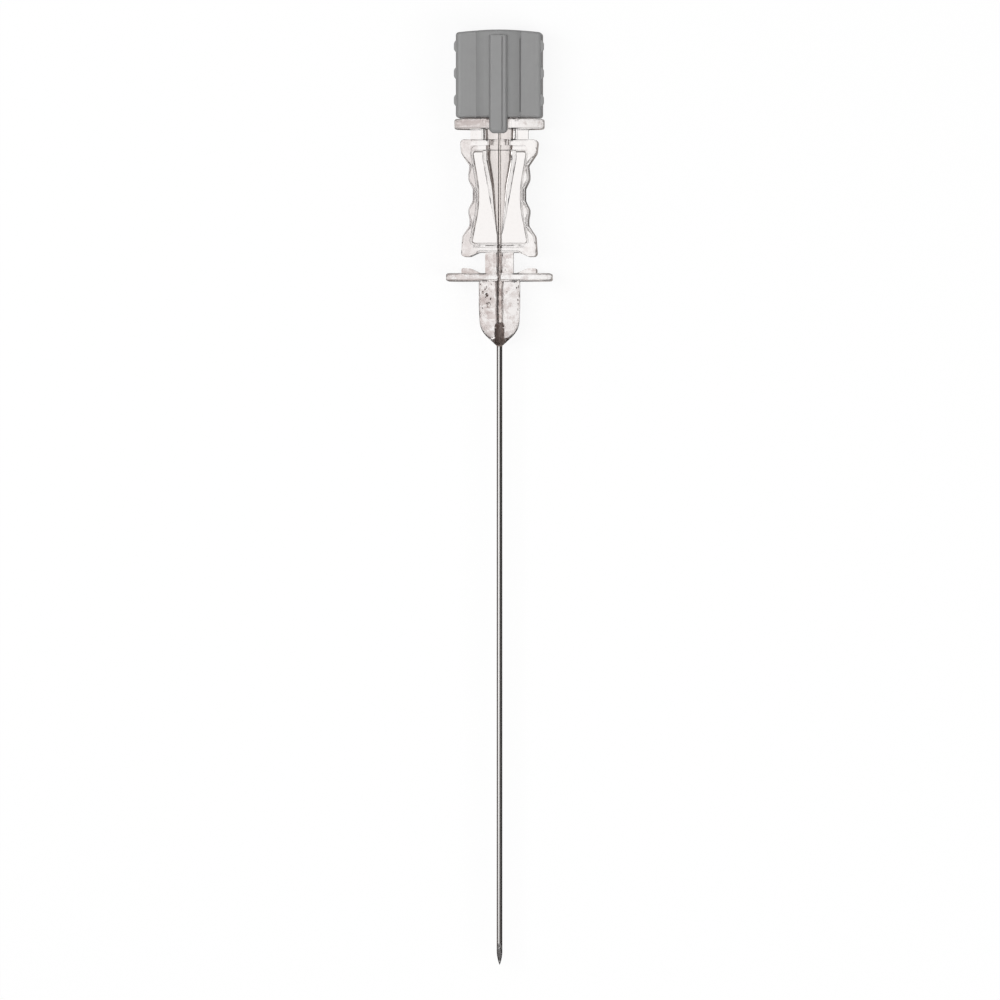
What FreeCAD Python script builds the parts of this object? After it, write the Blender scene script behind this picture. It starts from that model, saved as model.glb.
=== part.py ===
"""A spinal needle with its stylet in place, in millimetres.

The needle's axis is Y, with the point at -Y and the stylet's cap at +Y. The origin is on that axis where the cannula
leaves the hub's nose, which is where a needle's length is measured from. +Z is the side that the bevel, the notch and
the key tab face. -Z is the back, which the needle lies on. Sizes called _y are places along the axis.
"""

import FreeCAD, Part
import math
import os
import Sketcher

SIZES = {
    "cannula_length": (90.0, "from the hub's nose to the point"),
    "cannula_diameter": (0.82, "outside, 21 gauge"),
    "cannula_bore": (0.55, "inside diameter"),
    "cannula_inset": (9.6, "length held inside the hub"),
    "key_groove_depth": (0.03, "rolled grooves that key the glued length"),
    "key_groove_pitch": (0.8, "spacing of those grooves"),
    "key_groove_count": (11, "number of those grooves"),
    "bevel_angle": (13.6, "main grind, from the axis, in degrees"),
    "bevel_setback": (0.17, "length that the two lancet grinds take off the main grind's point"),
    "lancet_angle": (16.2, "lancet grinds, from the axis, in degrees"),
    "lancet_roll": (38.0, "turn of each lancet grind about the axis, in degrees"),
    "stylet_diameter": (0.45, "wire in the cannula"),
    "stylet_hold": (3.0, "wire moulded into the cap above the plug's seat"),
    "nose_tip_diameter": (1.12, "end of the nose"),
    "nose_cone_y": (2.15, "corner between the nose's cone and its barrel"),
    "nose_barrel_diameter": (5.7, "barrel at that corner"),
    "nose_round": (3.3, "rounding of that corner"),
    "nose_land_y": (5.6, "start of the straight land that a sheath fits"),
    "nose_land_diameter": (6.0, "land"),
    "glue_well_diameter": (0.98, "well for the adhesive"),
    "glue_well_mouth": (1.02, "diameter of the well's flared mouth at the nose's end"),
    "glue_well_flare": (0.7, "length of that flare"),
    "glue_well_depth": (2.9, "depth of the well from the nose's end"),
    "socket_clearance": (0.02, "radial room for the cannula in its socket"),
    "wing_y": (9.25, "underside of the finger wings"),
    "wing_thickness": (1.12, "along the axis"),
    "wing_width": (15.3, "across both wings"),
    "wing_depth": (9.6, "front to back"),
    "wing_corner": (2.4, "corner radius in plan"),
    "edge_round": (0.3, "rounding of the wings' and flange's edges"),
    "saddle_rise": (0.76, "height of the raised finger rests over the wings"),
    "saddle_outer": (5.4, "half width to the rests' outer side"),
    "saddle_crest": (4.2, "half width where the rests start to slope down"),
    "saddle_inner": (2.6, "half width where the slope ends"),
    "lower_neck_core": (2.3, "diameter of the neck's tube under the grip"),
    "lower_neck_width": (4.1, "across its two webs"),
    "neck_web": (1.5, "thickness of the webs of both necks"),
    "grip_y": (13.4, "underside of the grip body"),
    "grip_top_y": (29.8, "top of the grip body"),
    "grip_depth": (6.4, "front to back"),
    "grip_base_width": (11.0, "at the feet"),
    "grip_base_top_width": (10.6, "at the base's shoulders"),
    "grip_base_height": (2.3, "from the underside to the shoulders"),
    "grip_waist": (7.56, "narrowest width, between the finger ridges"),
    "grip_top_width": (11.35, "at the top"),
    "grip_flare_width": (10.9, "at the lower end of the top block"),
    "grip_flare_y": (27.75, "lower end of the top block"),
    "grip_edge_round": (0.45, "rounding of the grip's front and back edges"),
    "foot_drop": (0.6, "feet below the underside"),
    "foot_inner": (4.2, "half width to the feet's inner side"),
    "foot_slope": (1.3, "width of the slope up to the underside"),
    "ridge_rise": (0.62, "height of the finger ridges over the waist"),
    "ridge_flank": (1.25, "length of a ridge's flank along the axis"),
    "lower_ridge_y": (19.35, "middle of the lower ridge"),
    "lower_ridge_length": (0.6, "crest of the lower ridge"),
    "upper_ridge_y": (24.3, "middle of the upper ridge"),
    "upper_ridge_length": (0.8, "crest of the upper ridge"),
    "neck_dip": (0.16, "dip between each ridge and the flare beyond it"),
    "panel_web": (0.9, "thickness of the panels between rim and guide tube"),
    "panel_bottom_y": (14.5, "lower edge of the panels"),
    "panel_top_y": (28.95, "upper edge of the panels"),
    "panel_bottom_width": (8.8, "between the rims at the lower edge"),
    "panel_waist": (6.1, "between the rims at the waist"),
    "panel_waist_y": (21.4, "place of that waist"),
    "panel_top_width": (8.5, "between the rims at the upper edge"),
    "panel_side_round": (16.0, "rounding of the rims' inner sides"),
    "panel_edge_round": (0.4, "rounding between the panels and the rims"),
    "ledge_slope": (0.45, "slope of the panels' lower edge, over the rims' depth"),
    "panel_step": (0.65, "height of the step at the panels' upper edge"),
    "panel_step_web": (3.2, "thickness at that step"),
    "guide_top_y": (27.0, "where the guide cone meets the socket tube"),
    "guide_top_diameter": (5.0, "outside of the guide cone there"),
    "guide_bottom_y": (16.0, "lower end of the guide cone"),
    "guide_bottom_diameter": (1.16, "outside of the guide cone at that end and of the tube under it"),
    "guide_bore_top": (3.0, "bore of the guide cone at its top, up to the luer socket's floor"),
    "guide_bend_y": (23.2, "where the bore's wide upper cone meets its slender lower cone"),
    "guide_bore_bend": (1.74, "bore at that bend"),
    "guide_bore_bottom": (0.64, "bore at the guide cone's lower end"),
    "funnel_mouth": (0.7, "bore at the top of the small funnel under the grip"),
    "socket_tube_diameter": (5.5, "tube of the luer socket"),
    "luer_floor_y": (28.2, "floor of the luer socket"),
    "luer_mouth_y": (41.8, "mouth of the luer socket"),
    "luer_mouth_diameter": (4.29, "bore at the mouth"),
    "luer_lug_width": (7.8, "across the two lock lugs"),
    "luer_lug_depth": (3.6, "width of each lug"),
    "luer_lug_height": (2.1, "along the axis"),
    "upper_neck_width": (8.4, "across the webs between grip and flange"),
    "flange_y": (31.27, "underside of the top flange"),
    "flange_thickness": (1.5, "along the axis"),
    "flange_width": (13.05, "side to side"),
    "flange_depth": (9.4, "front to back"),
    "flange_corner": (4.2, "corner radius in plan"),
    "notch_width": (3.2, "notch that the key tab drops into"),
    "notch_floor": (3.3, "distance of the notch's floor from the axis"),
    "cap_gap": (0.15, "between the flange and the cap"),
    "cap_height": (12.75, "without the tab"),
    "cap_width": (12.45, "side to side without the grip ridges"),
    "cap_depth": (7.0, "front to back at the side panels"),
    "cap_corner": (0.7, "corner radius in plan of the side panels"),
    "cap_barrel": (9.6, "diameter of the round middle"),
    "cap_crown": (0.38, "rise of the crowned top over its sides"),
    "cap_edge_round": (0.45, "rounding of the top and bottom edges"),
    "cap_bore": (8.3, "cavity over the luer lugs"),
    "cap_bore_top_gap": (0.5, "room over the luer mouth"),
    "plug_clearance": (0.06, "radial room of the cap's plug in the luer socket"),
    "plug_reach": (6.8, "length of the plug below the luer mouth"),
    "luer_taper": (0.06, "change in diameter for each millimetre of depth"),
    "rib_width": (2.65, "key rib and tab"),
    "rib_top_width": (2.2, "flat front of the rib"),
    "rib_groove_x": (0.6, "line cut along the rib's front, from its middle"),
    "rib_groove_width": (0.22, "width of that line"),
    "rib_groove_depth": (0.16, "depth of that line"),
    "rib_groove_end": (1.0, "distance of the line's upper end from the cap's top"),
    "crease_x": (3.14, "fine line between the round middle and the right panel"),
    "crease_width": (0.3, "width of that line's cutter"),
    "crease_depth": (0.1, "depth of that line in the panel"),
    "crease_end": (0.85, "distance of that line's ends from the cap's edges"),
    "rib_front": (5.5, "front of the rib from the axis"),
    "tab_drop": (2.27, "key tab below the cap's lower edge"),
    "tab_corner": (0.7, "corner radius of the tab"),
    "tab_clearance": (0.3, "between the tab's back and the notch's floor"),
    "cap_ridge_pitch": (3.92, "spacing of the side grip ridges"),
    "cap_ridge_count": (3, "ridges on each side"),
    "cap_ridge_length": (1.8, "along the axis"),
    "cap_ridge_rise": (0.27, "proud of the side"),
    "cap_ridge_start": (1.1, "back of the ridges from the middle plane"),
    "cap_ridge_depth": (2.1, "front to back, on the front half of the sides"),
    "cap_ridge_y": (35.45, "middle of the lowest ridge"),
}

PLANES = {"front": "XY_Plane", "plan": "XZ_Plane", "side": "YZ_Plane"}


class Size:
    """A length or a number, with the sheet expression that gives it."""

    def __init__(self, text, value):
        self.text = text
        self.value = value

    def __add__(self, other):
        other = as_size(other)
        return Size(f"({self.text} + {other.text})", self.value + other.value)

    def __sub__(self, other):
        other = as_size(other)
        return Size(f"({self.text} - {other.text})", self.value - other.value)

    def __mul__(self, other):
        other = as_size(other)
        return Size(f"({self.text} * {other.text})", self.value * other.value)

    def __truediv__(self, other):
        other = as_size(other)
        return Size(f"({self.text} / {other.text})", self.value / other.value)

    def __neg__(self):
        return Size(f"(0 - {self.text})", -self.value)


def as_size(number):
    return number if isinstance(number, Size) else Size(str(number), number)


def tangent(angle):
    return Size(f"tan({angle.text} * 1 deg)", math.tan(math.radians(angle.value)))


def cosine(angle):
    return Size(f"cos({angle.text} * 1 deg)", math.cos(math.radians(angle.value)))


class Sizes:
    """The driving sheet. Each size is read as an attribute."""

    def __init__(self, doc):
        sheet = doc.addObject("Spreadsheet::Sheet", "sizes")
        for row, (name, (value, note)) in enumerate(SIZES.items(), start=1):
            sheet.set(f"A{row}", name)
            sheet.set(f"B{row}", str(value))
            sheet.setAlias(f"B{row}", name)
            sheet.set(f"C{row}", note)
            setattr(self, name, Size(f"sizes.{name}", value))


def new_body(doc, name):
    body = doc.addObject("PartDesign::Body", name)
    body.Label = name
    return body


def origin_feature(body, role):
    return next(item for item in body.Origin.OriginFeatures if item.Role == role)


def new_sketch(body, name, view, height=None, roll=None):
    """A sketch on one of the body's own planes, moved along the axis by height or turned about the axis by roll."""
    sketch = body.newObject("Sketcher::SketchObject", name)
    sketch.AttachmentSupport = [(origin_feature(body, PLANES[view]), "")]
    sketch.MapMode = "FlatFace"
    if height is not None:
        sketch.AttachmentOffset = FreeCAD.Placement(
            FreeCAD.Vector(0, 0, -height.value), FreeCAD.Rotation()
        )
        sketch.setExpression("AttachmentOffset.Base.z", (-height).text)
    if roll is not None:
        sketch.AttachmentOffset = FreeCAD.Placement(
            FreeCAD.Vector(), FreeCAD.Rotation(FreeCAD.Vector(1, 0, 0), roll.value)
        )
        sketch.setExpression("AttachmentOffset.Rotation.Angle", roll.text)
    return sketch


def place_point(sketch, geometry, end, corner, name):
    """Dimensions one point from the sketch's origin."""
    for value, kind, axis, word in ((corner[0], "DistanceX", -2, "across"), (corner[1], "DistanceY", -1, "up")):
        if value.text == "0":
            sketch.addConstraint(Sketcher.Constraint("PointOnObject", geometry, end, axis))
            continue
        index = sketch.addConstraint(Sketcher.Constraint(kind, -1, 1, geometry, end, value.value))
        sketch.renameConstraint(index, f"{name}_{word}")
        sketch.setExpression(f"Constraints.{name}_{word}", value.text)


def draw_outline(sketch, corners):
    """A closed outline of straight sides. A corner is (across, up) or (across, up, rounding radius)."""
    corners = [tuple(as_size(part) for part in corner) for corner in corners]
    count = len(corners)
    points = [FreeCAD.Vector(corner[0].value, corner[1].value, 0) for corner in corners]
    starts, ends, arcs = list(points), list(points), {}
    for i, corner in enumerate(corners):
        if len(corner) == 3:
            arrive = (points[i] - points[i - 1]).normalize()
            leave = (points[(i + 1) % count] - points[i]).normalize()
            reach = corner[2].value * math.tan(arrive.getAngle(leave) / 2)
            ends[i] = points[i] - arrive * reach
            starts[i] = points[i] + leave * reach
            left = arrive.cross(leave).z > 0
            normal = FreeCAD.Vector(-arrive.y, arrive.x, 0) * (1 if left else -1)
            centre = ends[i] + normal * corner[2].value
            first, last = (ends[i], starts[i]) if left else (starts[i], ends[i])
            angles = [math.atan2(p.y - centre.y, p.x - centre.x) for p in (first, last)]
            circle = Part.Circle(centre, FreeCAD.Vector(0, 0, 1), corner[2].value)
            arcs[i] = (Part.ArcOfCircle(circle, *angles), left)
    lines = [Part.LineSegment(starts[i], ends[(i + 1) % count]) for i in range(count)]
    sketch.addGeometry(lines, False)
    for i, corner in enumerate(corners):
        before = (i - 1) % count
        if i not in arcs:
            sketch.addConstraint(Sketcher.Constraint("Coincident", before, 2, i, 1))
            place_point(sketch, i, 1, corner, f"corner_{i}")
            continue
        arc, left = arcs[i]
        curve = sketch.addGeometry(arc, False)
        point = sketch.addGeometry(Part.Point(points[i]), True)
        near, far = (1, 2) if left else (2, 1)
        index = sketch.addConstraint(
            [
                Sketcher.Constraint("Tangent", before, 2, curve, near),
                Sketcher.Constraint("Tangent", i, 1, curve, far),
                Sketcher.Constraint("PointOnObject", point, 1, before),
                Sketcher.Constraint("PointOnObject", point, 1, i),
                Sketcher.Constraint("Radius", curve, corner[2].value),
            ]
        )[-1]
        sketch.renameConstraint(index, f"round_{i}")
        sketch.setExpression(f"Constraints.round_{i}", corner[2].text)
        place_point(sketch, point, 1, corner, f"corner_{i}")
    return sketch


def draw_circle(sketch, diameter):
    circle = sketch.addGeometry(Part.Circle(FreeCAD.Vector(), FreeCAD.Vector(0, 0, 1), diameter.value / 2), False)
    sketch.addConstraint(Sketcher.Constraint("Coincident", circle, 3, -1, 1))
    index = sketch.addConstraint(Sketcher.Constraint("Diameter", circle, diameter.value))
    sketch.renameConstraint(index, "diameter")
    sketch.setExpression("Constraints.diameter", diameter.text)
    return sketch


def both_sides(corners):
    """The right half of an outline, from bottom to top, with its mirror image on the left."""
    return corners + [(-as_size(corner[0]), *corner[1:]) for corner in reversed(corners)]


def rectangle(half_width, low, high, *rounding):
    return both_sides([(half_width, low, *rounding), (half_width, high, *rounding)])


def extrude(body, kind, name, sketch, length, symmetric=False, reverse=False):
    feature = body.newObject(f"PartDesign::{kind}", name)
    feature.Profile = sketch
    feature.Length = length.value
    feature.setExpression("Length", length.text)
    feature.SideType = "Symmetric" if symmetric else "One side"
    feature.Reversed = reverse
    return feature


def turn(body, kind, name, sketch):
    """A revolved solid or cut about the needle's axis."""
    feature = body.newObject(f"PartDesign::{kind}", name)
    feature.Profile = sketch
    feature.ReferenceAxis = (sketch, ["V_Axis"])
    feature.Angle = 360
    return feature


def mirror(body, name, feature, role):
    copy = body.newObject("PartDesign::Mirrored", name)
    copy.Originals = [feature]
    copy.MirrorPlane = (origin_feature(body, role), [""])
    body.Tip = copy
    return copy


def repeat(body, name, feature, length, count):
    """Copies of a feature along the needle's axis."""
    copies = body.newObject("PartDesign::LinearPattern", name)
    copies.Originals = [feature]
    copies.Direction = (origin_feature(body, "Y_Axis"), [""])
    copies.Length = length.value
    copies.setExpression("Length", length.text)
    copies.Occurrences = count.value
    copies.setExpression("Occurrences", count.text)
    body.Tip = copies
    return copies


def fillet(body, name, feature, radius, chosen):
    """Rounds the edges of a feature that the test picks by their middle point."""
    body.Document.recompute()
    edges = [
        f"Edge{number}"
        for number, edge in enumerate(feature.Shape.Edges, start=1)
        if chosen(edge.BoundBox.Center, edge)
    ]
    rounded = body.newObject("PartDesign::Fillet", name)
    rounded.Base = (feature, edges)
    rounded.Radius = radius.value
    rounded.setExpression("Radius", radius.text)
    return rounded


def grind_point(body, s):
    """The main bevel and the two lancet grinds, the same on the cannula and on the stylet."""
    radius = s.cannula_diameter / 2
    grinds = (
        ("main_bevel", as_size(0), s.bevel_angle, s.bevel_setback),
        ("right_lancet", -s.lancet_roll, s.lancet_angle, as_size(0)),
        ("left_lancet", s.lancet_roll, s.lancet_angle, as_size(0)),
    )
    for name, roll, angle, setback in grinds:
        foot = -radius * cosine(roll)
        low_y = -s.cannula_length - setback
        low = low_y - radius / tangent(angle)
        high = low_y + radius * 3 / tangent(angle)
        sketch = new_sketch(body, f"{name}_outline", "side", roll=roll)
        draw_outline(
            sketch,
            [(low, foot - radius), (high, foot + radius * 3), (low, foot + radius * 3)],
        )
        extrude(body, "Pocket", name, sketch, s.cannula_diameter * 4, symmetric=True)


def make_cannula(doc, s):
    body = new_body(doc, "cannula")
    outer, inner = s.cannula_diameter / 2, s.cannula_bore / 2
    tube = draw_outline(
        new_sketch(body, "tube_outline", "front"),
        [
            (inner, -s.cannula_length - s.bevel_setback),
            (outer, -s.cannula_length - s.bevel_setback),
            (outer, s.cannula_inset),
            (inner, s.cannula_inset),
        ],
    )
    turn(body, "Revolution", "tube", tube)
    groove_outline = draw_outline(
        new_sketch(body, "key_groove_outline", "front"),
        [
            (outer, 0),
            (outer, s.key_groove_pitch),
            (outer - s.key_groove_depth, s.key_groove_pitch / 2),
        ],
    )
    groove = turn(body, "Groove", "key_groove", groove_outline)
    repeat(body, "key_grooves", groove, s.key_groove_pitch * (s.key_groove_count - 1), s.key_groove_count)
    grind_point(body, s)
    return body


def make_stylet(doc, s):
    body = new_body(doc, "stylet")
    wire = draw_outline(
        new_sketch(body, "wire_outline", "front"),
        [
            (0, -s.cannula_length - s.bevel_setback),
            (s.stylet_diameter / 2, -s.cannula_length - s.bevel_setback),
            (s.stylet_diameter / 2, cap_ceiling(s) + s.stylet_hold),
            (0, cap_ceiling(s) + s.stylet_hold),
        ],
    )
    turn(body, "Revolution", "wire", wire)
    grind_point(body, s)
    return body


def make_adhesive(doc, s):
    body = new_body(doc, "adhesive")
    ring = draw_outline(
        new_sketch(body, "plug_outline", "front"),
        [
            (s.cannula_diameter / 2, 0),
            (s.glue_well_mouth / 2, 0),
            (s.glue_well_diameter / 2, s.glue_well_flare),
            (s.glue_well_diameter / 2, s.glue_well_depth),
            (s.cannula_diameter / 2, s.glue_well_depth),
        ],
    )
    turn(body, "Revolution", "plug", ring)
    return body


def luer_bore(s, y):
    """Radius of the luer socket's taper at a place on the axis."""
    return (s.luer_mouth_diameter - (s.luer_mouth_y - y) * s.luer_taper) / 2


def cap_bottom(s):
    return s.flange_y + s.flange_thickness + s.cap_gap


def cap_ceiling(s):
    return s.luer_mouth_y + s.cap_bore_top_gap


def make_grip(body, s):
    """The waisted grip: an outline with feet, finger ridges and a wide top, hollowed to a thin panel on each face."""
    waist = s.grip_waist / 2
    crest = waist + s.ridge_rise
    dip = crest - s.neck_dip
    low_start = s.lower_ridge_y - s.lower_ridge_length / 2
    low_end = s.lower_ridge_y + s.lower_ridge_length / 2
    high_start = s.upper_ridge_y - s.upper_ridge_length / 2
    high_end = s.upper_ridge_y + s.upper_ridge_length / 2
    outline = both_sides(
        [
            (s.foot_inner - s.foot_slope, s.grip_y, 0.8),
            (s.foot_inner, s.grip_y - s.foot_drop, 0.5),
            (s.grip_base_width / 2, s.grip_y - s.foot_drop, 0.5),
            (s.grip_base_top_width / 2, s.grip_y + s.grip_base_height, 0.7),
            (dip, low_start - s.ridge_flank * 1.4, 0.7),
            (dip, low_start - s.ridge_flank * 0.7, 0.5),
            (crest, low_start, 0.7),
            (crest, low_end, 0.7),
            (waist, low_end + s.ridge_flank, 0.9),
            (waist, high_start - s.ridge_flank, 0.9),
            (crest, high_start, 0.8),
            (crest, high_end, 0.8),
            (dip, high_end + s.ridge_flank, 0.5),
            (s.grip_flare_width / 2, s.grip_flare_y, 0.9),
            (s.grip_top_width / 2, s.grip_top_y, 0.6),
        ]
    )
    block = extrude(
        body, "Pad", "grip", draw_outline(new_sketch(body, "grip_outline", "front"), outline), s.grip_depth, True
    )
    front = s.grip_depth / 2
    fillet(body, "grip_edges", block, s.grip_edge_round, lambda middle, edge: abs(abs(middle.z) - front.value) < 0.01)
    for name, top, web in (
        ("upper", s.panel_top_y, s.panel_step_web),
        ("main", s.panel_top_y - s.panel_step, s.panel_web),
    ):
        window = both_sides(
            [
                (s.panel_bottom_width / 2, s.panel_bottom_y, 0.6),
                (s.panel_waist / 2, s.panel_waist_y, s.panel_side_round),
                (s.panel_top_width / 2, top, 0.6),
            ]
        )
        sketch = draw_outline(new_sketch(body, f"{name}_recess_outline", "front"), window)
        sketch.AttachmentOffset = FreeCAD.Placement(FreeCAD.Vector(0, 0, front.value), FreeCAD.Rotation())
        sketch.setExpression("AttachmentOffset.Base.z", front.text)
        recess = extrude(body, "Pocket", f"{name}_recess", sketch, (s.grip_depth - web) / 2)
        hollowed = mirror(body, f"{name}_back_recess", recess, "XY_Plane")
    floor = s.panel_web.value / 2
    fillet(
        body,
        "panel_edges",
        hollowed,
        s.panel_edge_round,
        lambda middle, edge: abs(abs(middle.z) - floor) < 0.01 and edge.BoundBox.ZLength < 0.01,
    )
    ledge = draw_outline(
        new_sketch(body, "ledge_outline", "side"),
        [
            (s.panel_bottom_y - s.ledge_slope, front + s.ledge_slope),
            (s.panel_bottom_y - s.ledge_slope, front),
            (s.panel_bottom_y, s.panel_web / 2 + s.panel_edge_round),
            (s.panel_bottom_y + s.ledge_slope, s.panel_web / 2 + s.panel_edge_round),
            (s.panel_bottom_y + s.ledge_slope, front + s.ledge_slope),
        ],
    )
    sloped = extrude(body, "Pocket", "ledge", ledge, s.panel_bottom_width - s.ledge_slope * 3, True)
    mirror(body, "back_ledge", sloped, "XY_Plane")


def make_stem(body, s):
    """Nose, neck tube, guide cone and luer socket: what is round about the axis."""
    nose_tip = s.nose_tip_diameter / 2
    core = s.lower_neck_core / 2
    tube = s.socket_tube_diameter / 2
    guide = s.guide_top_diameter / 2
    inside_wing = s.wing_y + s.wing_thickness / 2
    below_panel = s.panel_bottom_y - (s.panel_bottom_y - s.grip_y) / 2
    stem = [
        (0, 0),
        (nose_tip, 0),
        (s.nose_barrel_diameter / 2, s.nose_cone_y, s.nose_round),
        (s.nose_land_diameter / 2, s.nose_land_y),
        (s.nose_land_diameter / 2, inside_wing),
        (core, inside_wing),
        (core, below_panel),
        (s.guide_bottom_diameter / 2, below_panel),
        (s.guide_bottom_diameter / 2, s.guide_bottom_y),
        (guide, s.guide_top_y),
        (guide, s.grip_top_y - s.edge_round),
        (tube, s.grip_top_y),
        (tube, s.luer_mouth_y),
        (0, s.luer_mouth_y),
    ]
    turn(body, "Revolution", "stem", draw_outline(new_sketch(body, "stem_outline", "front"), stem))


def make_wings(body, s):
    """The finger wings under the grip, with their raised rests."""
    plan = draw_outline(
        new_sketch(body, "wing_outline", "plan", height=s.wing_y),
        rectangle(s.wing_width / 2, -s.wing_depth / 2, s.wing_depth / 2, s.wing_corner),
    )
    wings = extrude(body, "Pad", "wings", plan, s.wing_thickness, reverse=True)
    low, high = s.wing_y.value, (s.wing_y + s.wing_thickness).value
    reach = s.nose_land_diameter.value / 2
    fillet(
        body,
        "wing_edges",
        wings,
        s.edge_round,
        lambda middle, edge: min(abs(middle.y - low), abs(middle.y - high)) < 0.01
        and edge.BoundBox.YLength < 0.01
        and math.hypot(edge.Vertexes[0].X, edge.Vertexes[0].Z) > reach + 0.5,
    )
    base = s.wing_y + s.wing_thickness / 2
    rest_top = s.wing_y + s.wing_thickness + s.saddle_rise
    rest = [
        (s.saddle_inner - s.wing_thickness, base),
        (s.saddle_outer, base),
        (s.saddle_outer, rest_top, 0.3),
        (s.saddle_crest, rest_top, 1.8),
        (s.saddle_inner, s.wing_y + s.wing_thickness, 1.8),
        (s.saddle_inner - s.wing_thickness, s.wing_y + s.wing_thickness),
    ]
    right = extrude(
        body, "Pad", "right_rest", draw_outline(new_sketch(body, "rest_outline", "front"), rest), s.grip_depth, True
    )
    mirror(body, "left_rest", right, "YZ_Plane")


def make_necks(body, s):
    """The flat webs beside the tube, under the grip and over it."""
    necks = (
        ("lower_neck", s.lower_neck_width, s.wing_y + s.wing_thickness / 2, s.grip_y + s.edge_round),
        ("upper_neck", s.upper_neck_width, s.grip_top_y - s.edge_round, s.flange_y + s.flange_thickness / 2),
    )
    for name, width, low, high in necks:
        sketch = draw_outline(new_sketch(body, f"{name}_outline", "front"), rectangle(width / 2, low, high))
        extrude(body, "Pad", name, sketch, s.neck_web, True)


def make_flange(body, s):
    """The top flange with the notch for the key tab in its front edge."""
    front = s.flange_depth / 2
    notch = s.notch_width / 2
    plan = [
        (notch, s.notch_floor, 0.3),
        (notch, front, 0.3),
        (s.flange_width / 2, front, s.flange_corner),
        (s.flange_width / 2, -front, s.flange_corner),
    ]
    sketch = new_sketch(body, "flange_outline", "plan", height=s.flange_y)
    draw_outline(sketch, plan + [(-corner[0], *corner[1:]) for corner in reversed(plan)])
    flange = extrude(body, "Pad", "flange", sketch, s.flange_thickness, reverse=True)
    low, high = s.flange_y.value, (s.flange_y + s.flange_thickness).value
    beyond_neck = s.upper_neck_width.value / 2 + 0.3
    fillet(
        body,
        "flange_edges",
        flange,
        s.edge_round,
        lambda middle, edge: min(abs(middle.y - low), abs(middle.y - high)) < 0.01
        and edge.BoundBox.YLength < 0.01
        and all(math.hypot(v.X, v.Z) > s.notch_floor.value - 0.4 for v in edge.Vertexes)
        and edge.Curve.TypeId != "Part::GeomCircle"
        or abs(middle.x) > beyond_neck
        and min(abs(middle.y - low), abs(middle.y - high)) < 0.01,
    )
    lugs = draw_outline(
        new_sketch(body, "lug_outline", "plan", height=s.luer_mouth_y - s.luer_lug_height),
        rectangle(s.luer_lug_width / 2, -s.luer_lug_depth / 2, s.luer_lug_depth / 2, 1.2),
    )
    extrude(body, "Pad", "luer_lugs", lugs, s.luer_lug_height, reverse=True)


def make_hub_bore(body, s):
    """The way through the hub: glue well, cannula socket, small funnel, guide cone and luer taper."""
    socket = s.cannula_diameter / 2 + s.socket_clearance
    bore = [
        (0, 0),
        (s.glue_well_mouth / 2, 0),
        (s.glue_well_diameter / 2, s.glue_well_flare),
        (s.glue_well_diameter / 2, s.glue_well_depth),
        (socket, s.glue_well_depth),
        (socket, s.cannula_inset),
        (s.cannula_bore / 2, s.cannula_inset),
        (s.funnel_mouth / 2, s.grip_y),
        (s.guide_bore_bottom / 2, s.guide_bottom_y),
        (s.guide_bore_bend / 2, s.guide_bend_y, 8),
        (s.guide_bore_top / 2, s.guide_top_y, 2),
        (s.guide_bore_top / 2, s.luer_floor_y),
        (luer_bore(s, s.luer_floor_y), s.luer_floor_y, 0.2),
        (s.luer_mouth_diameter / 2, s.luer_mouth_y),
        (0, s.luer_mouth_y),
    ]
    turn(body, "Groove", "bore", draw_outline(new_sketch(body, "bore_outline", "front"), bore))


def make_hub(doc, s):
    body = new_body(doc, "hub")
    make_grip(body, s)
    make_stem(body, s)
    make_wings(body, s)
    make_necks(body, s)
    make_flange(body, s)
    make_hub_bore(body, s)
    return body


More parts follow.
